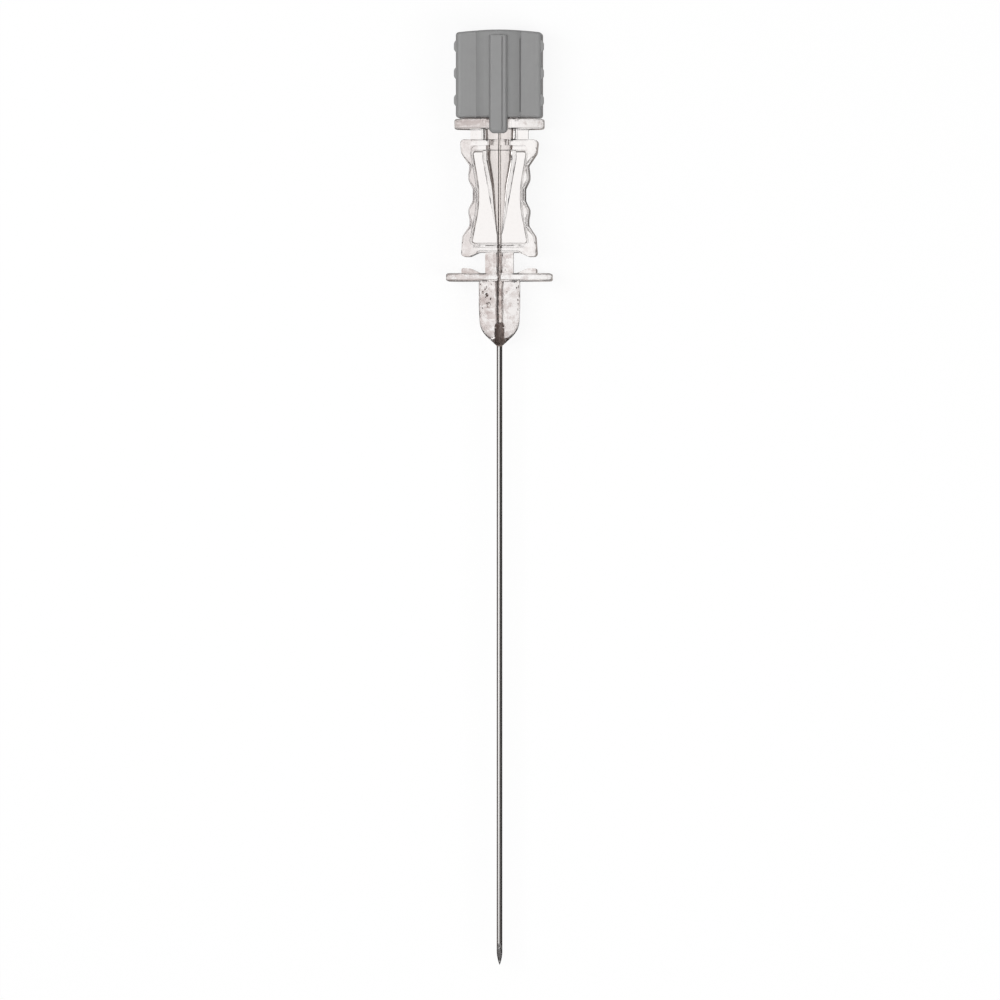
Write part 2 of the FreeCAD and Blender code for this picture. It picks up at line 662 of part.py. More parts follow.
def make_stylet_cap(doc, s):
    """The cap: a round middle between two flat side panels, hollow over the luer socket, with its plug and key rib."""
    body = new_body(doc, "stylet_cap")
    bottom = cap_bottom(s)
    top = bottom + s.cap_height
    panels = draw_outline(
        new_sketch(body, "panel_outline", "plan", height=bottom),
        rectangle(s.cap_width / 2, -s.cap_depth / 2, s.cap_depth / 2, s.cap_corner),
    )
    extrude(body, "Pad", "side_panels", panels, s.cap_height + s.cap_crown, reverse=True)
    barrel = draw_circle(new_sketch(body, "barrel_outline", "plan", height=bottom), s.cap_barrel)
    extrude(body, "Pad", "barrel", barrel, s.cap_height + s.cap_crown, reverse=True)
    crowned = make_crown(body, s, top)
    low, high = bottom.value, (top - s.cap_crown).value
    fillet(
        body,
        "rim_edges",
        crowned,
        s.cap_edge_round,
        lambda middle, edge: edge.BoundBox.YMin > high - 0.05 or edge.BoundBox.YMax < low + 0.01,
    )
    make_key_rib(body, s, bottom, top)
    ridge_middle = s.cap_ridge_y
    side = s.cap_width / 2
    half = s.cap_ridge_length / 2
    ridge = draw_outline(
        new_sketch(body, "ridge_outline", "front", height=-s.cap_ridge_start),
        [
            (side - s.cap_ridge_rise * 2, ridge_middle - half),
            (side, ridge_middle - half, 0.4),
            (side + s.cap_ridge_rise, ridge_middle - half * 0.5, 0.5),
            (side + s.cap_ridge_rise, ridge_middle + half * 0.5, 0.5),
            (side, ridge_middle + half, 0.4),
            (side - s.cap_ridge_rise * 2, ridge_middle + half),
        ],
    )
    first = extrude(body, "Pad", "ridge", ridge, s.cap_ridge_depth)
    transforms = body.newObject("PartDesign::MultiTransform", "ridges")
    transforms.Originals = [first]
    along = body.newObject("PartDesign::LinearPattern", "ridges_along")
    along.Direction = (origin_feature(body, "Y_Axis"), [""])
    span = s.cap_ridge_pitch * (s.cap_ridge_count - 1)
    along.Length = span.value
    along.setExpression("Length", span.text)
    along.Occurrences = s.cap_ridge_count.value
    along.setExpression("Occurrences", s.cap_ridge_count.text)
    across = body.newObject("PartDesign::Mirrored", "ridges_across")
    across.MirrorPlane = (origin_feature(body, "YZ_Plane"), [""])
    transforms.Transformations = [along, across]
    body.Tip = transforms
    make_cap_inside(body, s, bottom)
    return body


def make_crown(body, s, top):
    """Cuts the cap's top to a low arch from side to side. Its corner is the crossing of the arch's end tangents."""
    half = s.cap_width / 2
    beyond = half + s.cap_corner
    crossing = top + s.cap_crown
    foot = crossing - s.cap_crown * 2 * beyond / half
    sky = [
        (beyond, foot),
        (beyond, crossing + s.cap_crown),
        (-beyond, crossing + s.cap_crown),
        (-beyond, foot),
        (0, crossing, half * half / s.cap_crown / 2),
    ]
    sketch = draw_outline(new_sketch(body, "crown_outline", "front"), sky)
    return extrude(body, "Pocket", "crown", sketch, s.cap_depth * 2, True)


def make_key_rib(body, s, bottom, top):
    """The rib up the cap's front, with a line along it and one on its right. Its lower end is the key tab."""
    back = s.notch_floor + s.tab_clearance
    flat = s.rib_top_width / 2
    foot = s.rib_width / 2
    section = draw_outline(
        new_sketch(body, "rib_section", "plan", height=bottom - s.tab_drop),
        both_sides([(foot, back), (foot, s.cap_barrel / 2, 0.15), (flat, s.rib_front, 0.2)]),
    )
    rib_height = s.cap_height - s.cap_crown - s.cap_edge_round + s.tab_drop
    rib = extrude(body, "Pad", "key_rib", section, rib_height, reverse=True)
    tab_y = (bottom - s.tab_drop).value
    fillet(
        body,
        "tab_corners",
        rib,
        s.tab_corner,
        lambda middle, edge: abs(middle.y - tab_y) < 0.01
        and edge.BoundBox.XLength < 0.01
        and edge.Curve.TypeId == "Part::GeomLine",
    )
    line = draw_outline(
        new_sketch(body, "rib_groove_outline", "plan", height=bottom - s.tab_drop),
        [
            (s.rib_groove_x + s.rib_groove_width / 2, s.rib_front),
            (s.rib_groove_x + s.rib_groove_width / 2, s.rib_front + s.rib_groove_depth),
            (s.rib_groove_x - s.rib_groove_width / 2, s.rib_front + s.rib_groove_depth),
            (s.rib_groove_x - s.rib_groove_width / 2, s.rib_front),
            (s.rib_groove_x, s.rib_front - s.rib_groove_depth),
        ],
    )
    extrude(body, "Pocket", "rib_groove", line, s.cap_height - s.rib_groove_end + s.tab_drop)
    low, high = s.cap_depth / 2 - s.crease_depth, s.cap_depth / 2 + s.crease_depth * 4
    crease = draw_outline(
        new_sketch(body, "crease_outline", "plan", height=bottom + s.crease_end),
        [
            (s.crease_x, low),
            (s.crease_x + s.crease_width / 2, high),
            (s.crease_x - s.crease_width / 2, high),
        ],
    )
    extrude(body, "Pocket", "crease", crease, s.cap_height - s.cap_crown - s.crease_end * 2)


def make_cap_inside(body, s, bottom):
    """The cavity over the luer socket and the tapered plug in it, with the wire moulded in."""
    ceiling = cap_ceiling(s)
    plug_end = s.luer_mouth_y - s.plug_reach
    wire = s.stylet_diameter / 2
    inside = [
        (wire, plug_end),
        (luer_bore(s, plug_end) - s.plug_clearance, plug_end, 0.3),
        (luer_bore(s, ceiling) - s.plug_clearance, ceiling),
        (s.cap_bore / 2, ceiling, 0.3),
        (s.cap_bore / 2, bottom),
        (0, bottom),
        (0, ceiling + s.stylet_hold),
        (wire, ceiling + s.stylet_hold),
    ]
    turn(body, "Groove", "inside", draw_outline(new_sketch(body, "inside_outline", "front"), inside))


def check(doc, bodies):
    """Stops unless every object was made and every piece is one valid solid."""
    failed = [
        f"{item.Name}: {item.getStatusString()}"
        for item in doc.Objects
        if "Invalid" in item.State or "Error" in item.State
    ]
    if failed:
        raise RuntimeError("; ".join(failed))
    for body in bodies:
        shape = body.Shape
        if shape.isNull() or not shape.isValid() or len(shape.Solids) != 1:
            raise RuntimeError(f"{body.Label} is not one valid solid")
        print(body.Label, "volume", round(shape.Volume, 3), "box", shape.BoundBox)


def main():
    doc = FreeCAD.newDocument("spinal_needle")
    s = Sizes(doc)
    doc.recompute()
    bodies = [make(doc, s) for make in (make_hub, make_cannula, make_adhesive, make_stylet_cap, make_stylet)]
    doc.recompute()
    check(doc, bodies)
    os.makedirs("parts", exist_ok=True)
    for body in bodies:
        body.Shape.exportStep(f"parts/{body.Label}.step")


main()
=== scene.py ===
"""A spinal needle lying on its back, seen from above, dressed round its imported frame.

The needle's axis is Y, with the point at -Y and the grey cap at +Y, and it lies on the floor under its
-Z side. The hub and the cap keep their solids and get their finishes here. The steel tube, the wire in it
and the glue are turned again more finely, because their solids are meshed coarsely, and air bubbles and
flecks of glue are added in the nose.
"""

import math
import random

import bpy
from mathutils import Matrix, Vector


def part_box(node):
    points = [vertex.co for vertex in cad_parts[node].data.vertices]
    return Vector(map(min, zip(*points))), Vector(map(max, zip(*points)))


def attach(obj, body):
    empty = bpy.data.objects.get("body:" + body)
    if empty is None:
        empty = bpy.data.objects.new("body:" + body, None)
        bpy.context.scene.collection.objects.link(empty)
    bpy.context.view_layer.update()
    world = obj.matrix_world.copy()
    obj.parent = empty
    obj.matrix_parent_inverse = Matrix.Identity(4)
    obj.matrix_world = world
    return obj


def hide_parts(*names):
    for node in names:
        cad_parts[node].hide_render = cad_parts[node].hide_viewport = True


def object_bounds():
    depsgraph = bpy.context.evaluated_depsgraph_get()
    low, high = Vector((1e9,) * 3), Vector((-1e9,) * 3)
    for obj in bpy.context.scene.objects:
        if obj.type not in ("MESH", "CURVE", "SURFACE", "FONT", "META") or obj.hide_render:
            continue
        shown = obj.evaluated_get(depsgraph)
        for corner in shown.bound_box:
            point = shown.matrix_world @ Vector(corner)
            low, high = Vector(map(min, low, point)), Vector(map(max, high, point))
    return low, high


bl_info = {
    "name": "Spinal Needle",
    "version": (1, 0, 0),
    "blender": (4, 5, 0),
    "location": "3D View > Sidebar > Needle",
    "description": "Grinds the steel, glues it into its clear hub and finishes every surface",
    "category": "Object",
}

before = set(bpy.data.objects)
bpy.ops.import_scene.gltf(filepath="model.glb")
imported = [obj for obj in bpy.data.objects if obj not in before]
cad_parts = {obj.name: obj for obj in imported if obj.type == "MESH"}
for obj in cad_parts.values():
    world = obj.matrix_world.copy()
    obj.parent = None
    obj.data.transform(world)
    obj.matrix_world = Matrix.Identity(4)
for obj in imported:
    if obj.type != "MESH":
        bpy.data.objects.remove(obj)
cad_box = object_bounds()

MM = 0.001
FULL_TURN = 2 * math.pi
NEEDLE = "needle"
STYLET = "stylet_assembly"
WHITE = (1, 1, 1)

# How a noise is stretched to draw fine lines on steel, along the needle and across it.
DRAWN_LINES = (1, 0.02, 1)
GROUND_LINES = (0.1, 1, 0.1)

# The block that grinds the point, in radii of the tube.
STONE_WIDTH = 8
STONE_LENGTH = 40

# Ground faces lie within this many radii of the tip, and their normals lean forward and rise by this much.
GROUND_REACH = 10
GROUND_LEAN = (-0.6, -0.15)
GROUND_RISE = 0.3

# The bubbles and flecks in the nose. Their places are shares of the room there is.
SMALLEST_SPECK = 0.25  # squared later, so that most are small
LEFT_SHARE = 0.72
SPECK_START = 0.35  # none nearer the axis
SPECK_CROWDING = 0.6  # below one they crowd towards the wings
SPECK_DEPTHS = (-0.2, 0.9)
SPECK_TILTS = (-0.5, 0.5)  # radians
SPECK_WIDTHS = (0.6, 1.1)  # next to a ball's, like the two below
SPECK_LENGTHS = (0.7, 1.8)
SPECK_HEIGHT = 0.7

# The noise from which a flow cloud starts and the noise at which it is full.
CLOUD_EDGE = (0.36, 0.53)

# The ray depths between which painted shade darkens what clear plastic shows of the floor and of the room.
FLOOR_FADE = (4, 6.5)
ROOM_FADE = (5, 9)

# Each lamp's name, place, width and length in metres, and power in watts.
LAMPS = (
    ("key_lamp", (-0.12, 0.02, 0.45), (0.16, 0.4), 1.15),
    ("fill_lamp", (0.3, -0.15, 0.45), (0.3, 0.3), 0.75),
)


def outer_radius(node):
    """The radius of a round piece, from its box in the frame."""
    low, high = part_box(node)
    return (high.x - low.x) / 2


def number_property(label, note, default, **more):
    return bpy.props.FloatProperty(name=label, description=note, default=default, **more)


def length_property(label, note, default):
    return number_property(label, note, default, unit="LENGTH", precision=6)


def angle_property(label, note, degrees):
    return number_property(label, note, math.radians(degrees), unit="ROTATION")


def share_property(label, note, default):
    return number_property(label, note, default, subtype="FACTOR", min=0, max=1)


def count_property(label, note, default):
    return bpy.props.IntProperty(name=label, description=note, default=default)


def colour_property(label, note, default):
    return bpy.props.FloatVectorProperty(
        name=label, description=note, default=default, subtype="COLOR", size=3
    )


class SteelSettings(bpy.types.PropertyGroup):
    """Sizes and finish of the tube and the wire."""

    bore: length_property("Tube bore", "Inside diameter of the tube", 0.55 * MM)
    tube_steps: count_property("Tube steps", "Faces round the tube", 96)
    wire_steps: count_property("Wire steps", "Faces round the wire", 48)
    groove_depth: length_property("Groove depth", "Depth of the key grooves in the glued length", 0.03 * MM)
    groove_pitch: length_property("Groove pitch", "Spacing of the key grooves", 0.8 * MM)
    groove_count: count_property("Grooves", "Number of key grooves", 11)
    bevel_angle: angle_property("Bevel", "Main grind of the point, from the axis", 13.6)
    bevel_setback: length_property("Bevel setback", "Length that the lancet grinds take off", 0.17 * MM)
    lancet_angle: angle_property("Lancet grind", "Side grinds of the point, from the axis", 16.2)
    lancet_roll: angle_property("Lancet roll", "Turn of each side grind about the axis", 38)
    tube_colour: colour_property("Tube steel", "Drawn and polished steel of the tube", (0.84, 0.83, 0.82))
    tube_roughness: share_property("Tube roughness", "Polish of the tube", 0.24)
    tube_lines: length_property("Tube lines", "Depth of the tube's drawn lines", 0.004 * MM)
    line_scale: number_property("Lines", "Fine lines per metre", 3000)
    patch_scale: number_property("Patches", "Duller patches per metre", 350)
    wire_colour: colour_property("Wire steel", "Bright drawn wire", (0.82, 0.81, 0.80))
    wire_roughness: share_property("Wire roughness", "Polish of the wire", 0.2)
    fine_lines: length_property("Fine lines", "Depth of the other fine lines", 0.003 * MM)
    ground_colour: colour_property("Ground steel", "Fresh ground faces of the point", (0.78, 0.78, 0.79))
    ground_roughness: share_property("Ground roughness", "Polish of the tube's ground faces", 0.3)
    end_roughness: share_property("Wire end", "Polish of the wire's ground end", 0.34)


class GlueSettings(bpy.types.PropertyGroup):
    """Sizes and finish of the adhesive, and of the air and the flecks trapped in the nose."""

    steps: count_property("Glue steps", "Faces round the glue", 64)
    film: length_property("Wetting", "How far the glue stands into the hub, to leave no gap", 0.02 * MM)
    meniscus: length_property("Meniscus", "Height of the glue's collar under the nose", 0.24 * MM)
    colour: colour_property("Adhesive", "Cured adhesive, brown where it is thick", (0.19, 0.15, 0.135))
    roughness: share_property("Glue roughness", "Gloss of the glue", 0.28)
    ior: number_property("Glue IOR", "Refraction of the glue", 1.5)
    cloud_scale: number_property("Glue clouds", "Darker places per metre", 2200)
    skin: length_property("Glue skin", "Depth of the glue's uneven skin", 0.04 * MM)
    seed: count_property("Seed", "Start of the random draws for bubbles and flecks", 7)
    bubbles: count_property("Bubbles", "Air bubbles trapped in the nose", 16)
    bubble_size: length_property("Bubble size", "Radius of the largest bubble", 0.3 * MM)
    flecks: count_property("Flecks", "Brown flecks of adhesive in the nose", 22)
    fleck_size: length_property("Fleck size", "Radius of the largest fleck", 0.16 * MM)
    speck_low: length_property("Specks from", "Lower end of the part with bubbles and flecks", 3.4 * MM)
    speck_high: length_property("Specks to", "Upper end of the part with bubbles and flecks", 8.9 * MM)
    speck_radius: length_property("Specks' radius", "Their distance from the axis, at most", 2.5 * MM)


class PlasticSettings(bpy.types.PropertyGroup):
    """Finish of the clear hub and the grey cap."""

    clear_colour: colour_property("Clear plastic", "Faint tint of the hub", (0.93, 0.90, 0.885))
    clear_roughness: share_property("Clear roughness", "Polish of the hub's mould", 0.02)
    clear_ior: number_property("Clear IOR", "Refraction of the hub's plastic", 1.53)
    wave_scale: number_property("Waves", "Waves per metre where the hub is thick", 800)
    raised_waves: share_property("Rails' waves", "Strength of those waves beside the panels", 0.35)
    broad_scale: number_property("Broad waves", "Waves per metre everywhere", 420)
    broad_waves: share_property("Broad waves' strength", "Strength of the waves everywhere", 0.25)
    wave_height: length_property("Wave height", "Height of the waves", 0.14 * MM)
    cloud_colour: colour_property("Flow clouds", "Pinkish tint of the flow clouds", (0.58, 0.505, 0.485))
    cloud_scale: number_property("Clouds", "Flow clouds per metre", 800)
    cloud_turn: length_property("Cloud turn", "Half width of the change from left to right", 3 * MM)
    right_side: share_property("Right side", "How much cleaner the right side is", 0.13)
    clean_middle: length_property("Clean middle", "Middle of the hub's clean part on the axis", 22.4 * MM)
    clean_reach: length_property("Clean reach", "Half length of the hub's clean part", 8.7 * MM)
    panel_skin: length_property("Panel skin", "Half thickness of the clean panels", 0.6 * MM)
    rail_start: length_property("Rails", "From the axis to the grip's rails, with faint clouds", 2.9 * MM)
    rail_share: share_property("Rails' clouds", "Strength of the clouds in the rails", 0.5)
    cap_colour: colour_property("Cap plastic", "Opaque grey of the cap", (0.295, 0.295, 0.295))
    cap_roughness: share_property("Cap roughness", "Satin finish of the cap's mould", 0.42)
    cap_ior: number_property("Cap IOR", "Refraction of the cap's plastic", 1.49)
    cap_grain: length_property("Cap grain", "Depth of the satin grain", 0.02 * MM)
    grain_scale: number_property("Grains", "Grains per metre", 9000)
    mottle_scale: number_property("Mottle", "Mottled patches per metre", 900)
    streak_scale: number_property("Flow lines", "Flow lines per metre", 2600)


class StageSettings(bpy.types.PropertyGroup):
    """Floor, room, lamps and camera."""

    reach: length_property("Floor", "Width of the floor", 6.0)
    view_distance: length_property("Camera distance", "From the camera to the axis", 2.4)
    view_width: length_property("View width", "Width of the picture at the axis", 145.16 * MM)
    view_turn: angle_property("View turn", "Turn about the axis, to show a little of the right side", 2.3)
    view_centre: length_property("View centre", "Place on the axis that the camera looks at", -22.5 * MM)
    view_offset: length_property("View offset", "From the axis to the picture's middle", 0.07 * MM)
    floor_light: share_property("Floor light", "Share of the floor that shines instead of being lit", 0.86)
    floor_glow: number_property("Floor glow", "Strength of the floor's own white", 1.02)
    floor_paint: colour_property("Floor paint", "White paint of the floor", (0.9, 0.9, 0.9))
    # The brown bands are painted shade: the floor glows brown there only for rays through clear plastic,
    # the right band darker.
    painted_shade_reach: length_property("Cards' reach", "From the axis to the cards' outer edges", 36 * MM)
    painted_shade_colour: colour_property("Cards", "Brown cards beside the lit table", (0.145, 0.108, 0.093))
    # The room's dark is also the colour of the painted shade that darkens long ways through clear plastic.
    room_dark: colour_property("Room", "What clear plastic shows of the room above", (0.06, 0.045, 0.039))
    soft_light: number_property("Soft light", "Strength of the light from all sides", 0.36)
    mirror_light: number_property("Mirrored light", "Strength of what steel mirrors of the room", 1.18)
    overhead_light: number_property("Overhead light", "Strength of the lamp seen through plastic", 1.7)


class Socket:
    """An output of a node. Arithmetic with it adds Math nodes."""

    def __init__(self, finish, output):
        self.finish = finish
        self.output = output

    def math(self, operation, *values):
        return self.finish.add("Math", {"operation": operation}, dict(enumerate(values)))

    def __add__(self, other):
        return self.math("ADD", self, other)

    def __sub__(self, other):
        return self.math("SUBTRACT", self, other)

    def __mul__(self, other):
        return self.math("MULTIPLY", self, other)

    def size(self):
        """The value without its sign."""
        return self.math("ABSOLUTE", self)

    def at_least(self, other):
        """The larger of two values."""
        return self.math("MAXIMUM", self, other)

    __radd__ = __add__


class Finish:
    """The node tree of a material or of the world."""

    def __init__(self, owner):
        owner.use_nodes = True
        self.tree = owner.node_tree
        self.tree.nodes.clear()

    def add(self, kind, settings=None, inputs=None, output=0):
        """Adds a node, sets it up, feeds its inputs and returns one of its outputs."""
        node = self.tree.nodes.new(f"ShaderNode{kind}")
        for name, value in (settings or {}).items():
            if name == "stops":
                self.set_stops(node.color_ramp, value)
            else:
                setattr(node, name, value)
        for name, value in (inputs or {}).items():
            if isinstance(value, Socket):
                self.tree.links.new(value.output, node.inputs[name])
            else:
                node.inputs[name].default_value = value
        return Socket(self, node.outputs[output]) if node.outputs else None

    def set_stops(self, ramp, stops):
        for stop in stops[2:]:
            ramp.elements.new(stop[0])
        for element, (place, colour) in zip(ramp.elements, sorted(stops)):
            element.position = place
            element.color = (*colour, 1)

    def on_piece(self, scale=(1, 1, 1)):
        """The piece's own coordinates in metres, stretched by scale."""
        place = self.add("TexCoord", output="Object")
        return self.add("Mapping", inputs={"Vector": place, "Scale": scale})

    def axes(self, place):
        """The three numbers of a place."""
        return tuple(self.add("SeparateXYZ", inputs={"Vector": place}, output=axis) for axis in "XYZ")

    def ray_kinds(self):
        """Whether a ray is the camera's, a mirrored one or one through clear plastic."""
        kinds = ("Camera", "Glossy", "Transmission")
        return tuple(self.add("LightPath", output=f"Is {kind} Ray") for kind in kinds)

    def noise(self, place, scale, detail=3.0, roughness=0.5):
        """Soft random patches. Scale is their number per metre."""
        return self.add(
            "TexNoise",
            inputs={"Vector": place, "Scale": scale, "Detail": detail, "Roughness": roughness},
        )

    def ramp(self, value, low, high):
        """Nought below low and one above high, with a soft step between them."""
        return self.add(
            "MapRange",
            {"interpolation_type": "SMOOTHSTEP"},
            {"Value": value, "From Min": low, "From Max": high},
        )

    def bump(self, height, strength, distance):
        return self.add("Bump", inputs={"Strength": strength, "Distance": distance, "Height": height})

    def bands(self, place, *stops):
        """Colours along a line. Each stop is a place from nought to one and the colour there."""
        return self.add("ValToRGB", {"stops": stops}, {0: place})

    def mix_colours(self, amount, first, second):
        """Goes from the first colour to the second. Each is a colour or a node's output."""
        ends = (end if isinstance(end, Socket) else (*end, 1) for end in (first, second))
        inputs = {"Factor": amount, **dict(zip("AB", ends))}
        return self.add("Mix", {"data_type": "RGBA"}, inputs, output="Result")

    def mottled(self, amount, colour, darkest, palest):
        """Goes from the darkest share of a colour to its palest."""
        return self.mix_colours(amount, shaded(colour, darkest), shaded(colour, palest))


def grey(value):
    return (value, value, value)


def shaded(colour, factor):
    return tuple(channel * factor for channel in colour)


def new_finish(name):
    material = bpy.data.materials.new(name)
    return material, Finish(material)


def finish_surface(finish, surface):
    finish.add("OutputMaterial", inputs={"Surface": surface})


def clear_plastic(settings):
    """Clear moulding, wavy where it is thick and marked there with pinkish flow clouds.

    The hub's ends, which are the nose, the wings and the flange, are thick and cloudy. Between them only
    the rails beside the panels have faint clouds. The left side is cloudier than the right.
    """
    material, finish = new_finish("clear_moulding")
    place = finish.on_piece()
    across, along, depth = finish.axes(place)
    raised = finish.ramp(depth.size(), settings.panel_skin, settings.panel_skin * 2)
    off_middle = (along - settings.clean_middle).size()
    ends = finish.ramp(off_middle, settings.clean_reach, settings.clean_reach * 1.1)
    thick = (raised * settings.raised_waves).at_least(ends)
    broad = finish.noise(place, settings.broad_scale, detail=2) * settings.broad_waves
    waves = finish.noise(place, settings.wave_scale, detail=3) * thick + broad
    right = finish.ramp(across, -settings.cloud_turn, settings.cloud_turn)
    flow = finish.noise(place, settings.cloud_scale, detail=5, roughness=0.66) - right * settings.right_side
    beside = finish.ramp(across.size(), settings.rail_start, settings.rail_start * 1.2)
    rails = beside * raised * settings.rail_share
    clouds = finish.ramp(flow, *CLOUD_EDGE) * rails.at_least(ends)
    surface = finish.add(
        "BsdfPrincipled",
        inputs={
            "Base Color": finish.mix_colours(clouds, settings.clear_colour, settings.cloud_colour),
            "Roughness": settings.clear_roughness,
            "IOR": settings.clear_ior,
            "Transmission Weight": 1.0,
            "Normal": finish.bump(waves, 0.5, settings.wave_height),
        },
    )
    finish_surface(finish, surface)
    return material


def cap_plastic(settings):
    """Opaque grey moulding with a fine satin grain, a faint mottle and faint flow lines along the axis."""
    material, finish = new_finish("grey_moulding")
    mottle = finish.noise(finish.on_piece(), settings.mottle_scale, detail=5)
    streaks = finish.noise(finish.on_piece((1, 0.06, 1)), settings.streak_scale, detail=2)
    grain = finish.noise(finish.on_piece(), settings.grain_scale, detail=2)
    surface = finish.add(
        "BsdfPrincipled",
        inputs={
            "Base Color": finish.mottled(mottle * 0.6 + streaks * 0.4, settings.cap_colour, 0.9, 1.1),
            "Roughness": settings.cap_roughness + (mottle - 0.5) * 0.16,
            "IOR": settings.cap_ior,
            "Normal": finish.bump(grain * 0.7 + mottle * 0.3, 0.25, settings.cap_grain),
        },
    )
    finish_surface(finish, surface)
    return material


def steel(name, settings, colour, roughness, stretch, depth):
    """Bright steel with fine lines of the given depth. Stretch says which way they run."""
    material, finish = new_finish(name)
    lines = finish.noise(finish.on_piece(stretch), settings.line_scale, detail=3)
    patches = finish.noise(finish.on_piece((1, 0.2, 1)), settings.patch_scale)
    surface = finish.add(
        "BsdfPrincipled",
        inputs={
            "Base Color": finish.mottled(lines * 0.5 + patches * 0.5, colour, 0.86, 1.12),
            "Metallic": 1.0,
            "Roughness": roughness + (lines - 0.5) * 0.14,
            "Normal": finish.bump(lines, 0.3, depth),
        },
    )
    finish_surface(finish, surface)
    return material


def adhesive_finish(settings):
    """Brown cured glue with darker and paler places."""
    material, finish = new_finish("cured_adhesive")
    clouds = finish.noise(finish.on_piece(), settings.cloud_scale, detail=4)
    surface = finish.add(
        "BsdfPrincipled",
        inputs={
            "Base Color": finish.mottled(clouds, settings.colour, 0.5, 1.7),
            "Roughness": settings.roughness,
            "IOR": settings.ior,
            "Normal": finish.bump(clouds, 0.4, settings.skin),
        },
    )
    finish_surface(finish, surface)
    return material


def trapped_air_finish(clear_ior):
    """The skin of an air bubble in clear plastic: it turns light back, so its rim looks dark."""
    material, finish = new_finish("trapped_air")
    specks = finish.noise(finish.on_piece(), 4000)
    surface = finish.add(
        "BsdfPrincipled",
        inputs={
            "Base Color": finish.mix_colours(specks, (0.95, 0.93, 0.92), (0.86, 0.82, 0.8)),
            "Roughness": 0.0,
            "IOR": 1 / clear_ior,
            "Transmission Weight": 1.0,
        },
    )
    finish_surface(finish, surface)
    return material


def start_piece():
    """Leaves edit mode and deselects all, so that the next primitive is alone."""
    if bpy.context.object and bpy.context.object.mode != "OBJECT":
        bpy.ops.object.mode_set(mode="OBJECT")
    bpy.ops.object.select_all(action="DESELECT")


def name_new_piece(name):
    piece = bpy.context.object
    piece.name = name
    piece.data.name = name
    return piece


def select_only(piece):
    bpy.ops.object.select_all(action="DESELECT")
    piece.select_set(True)
    bpy.context.view_layer.objects.active = piece


def settle(piece):
    """Puts the piece's place into its mesh, so that its object sits at the origin."""
    select_only(piece)
    bpy.ops.object.transform_apply(location=True, rotation=True, scale=True)


def apply_modifier(piece, kind, **settings):
    modifier = piece.modifiers.new(kind.lower(), kind)
    for name, value in settings.items():
        setattr(modifier, name, value)
    bpy.context.view_layer.objects.active = piece
    bpy.ops.object.modifier_apply(modifier=modifier.name)


def turned_piece(name, outline, steps):
    """A solid turned about the needle's axis. Its outline is a run of radii and places on the axis."""
    start_piece()
    bpy.ops.mesh.primitive_plane_add(size=MM, location=(outline[0][0], outline[0][1], 0))
    piece = name_new_piece(name)
    settle(piece)
    bpy.ops.object.mode_set(mode="EDIT")
    bpy.ops.mesh.select_all(action="SELECT")
    bpy.ops.mesh.merge(type="CENTER")
    bpy.ops.mesh.select_mode(type="VERT")
    for before, after in zip(outline, outline[1:]):
        step = (after[0] - before[0], after[1] - before[1], 0)
        bpy.ops.mesh.extrude_region_move(TRANSFORM_OT_translate={"value": step})
    bpy.ops.mesh.select_all(action="SELECT")
    bpy.ops.mesh.spin(steps=steps, angle=FULL_TURN, center=(0, 0, 0), axis=(0, 1, 0))
    bpy.ops.mesh.select_all(action="SELECT")
    bpy.ops.mesh.remove_doubles(threshold=MM / 1000)
    bpy.ops.mesh.normals_make_consistent(inside=False)
    bpy.ops.object.mode_set(mode="OBJECT")
    return piece


def grind_point(piece, settings, tip_y, radius):
    """Cuts the main bevel and the two lancet faces from the tube's or the wire's end."""
    grinds = (
        (settings.bevel_angle, 0, settings.bevel_setback),
        (settings.lancet_angle, settings.lancet_roll, 0),
        (settings.lancet_angle, -settings.lancet_roll, 0),
    )
    block = Vector((radius * STONE_WIDTH, radius * STONE_LENGTH, radius * STONE_WIDTH))
    for angle, roll, setback in grinds:
        foot = -radius * math.cos(roll)
        turn = Vector((0, -math.sin(angle), math.cos(angle))) * block.z / 2
        middle = Vector((0, 0, foot)) + turn
        middle = Vector((middle.z * math.sin(roll), middle.y, middle.z * math.cos(roll)))
        start_piece()
        bpy.ops.mesh.primitive_cube_add(
            size=1,
            location=(middle.x, middle.y + tip_y - setback, middle.z),
            rotation=(angle, roll, 0),
            scale=block,
        )
        stone = name_new_piece("grindstone")
        apply_modifier(piece, "BOOLEAN", operation="DIFFERENCE", solver="EXACT", object=stone)
        bpy.data.objects.remove(stone)


def give_ground_finish(piece, material, tip_y, radius):
    """Puts the ground finish on the faces of the point that look neither sideways nor along the axis."""
    piece.data.materials.append(material)
    slot = len(piece.data.materials) - 1
    for face in piece.data.polygons:
        near_point = face.center.y < tip_y + radius * GROUND_REACH
        leans = GROUND_LEAN[0] < face.normal.y < GROUND_LEAN[1]
        if near_point and leans and face.normal.z > GROUND_RISE:
            face.material_index = slot


def smooth_sides(piece, degrees=30):
    select_only(piece)
    bpy.ops.object.shade_smooth_by_angle(angle=math.radians(degrees))


def sharpen(piece, settings, material):
    """Grinds the piece's end to the needle's point, with the given finish on the ground faces."""
    tip_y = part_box("cannula")[0].y
    radius = outer_radius("cannula")
    grind_point(piece, settings, tip_y, radius)
    give_ground_finish(piece, material, tip_y, radius)
    smooth_sides(piece)


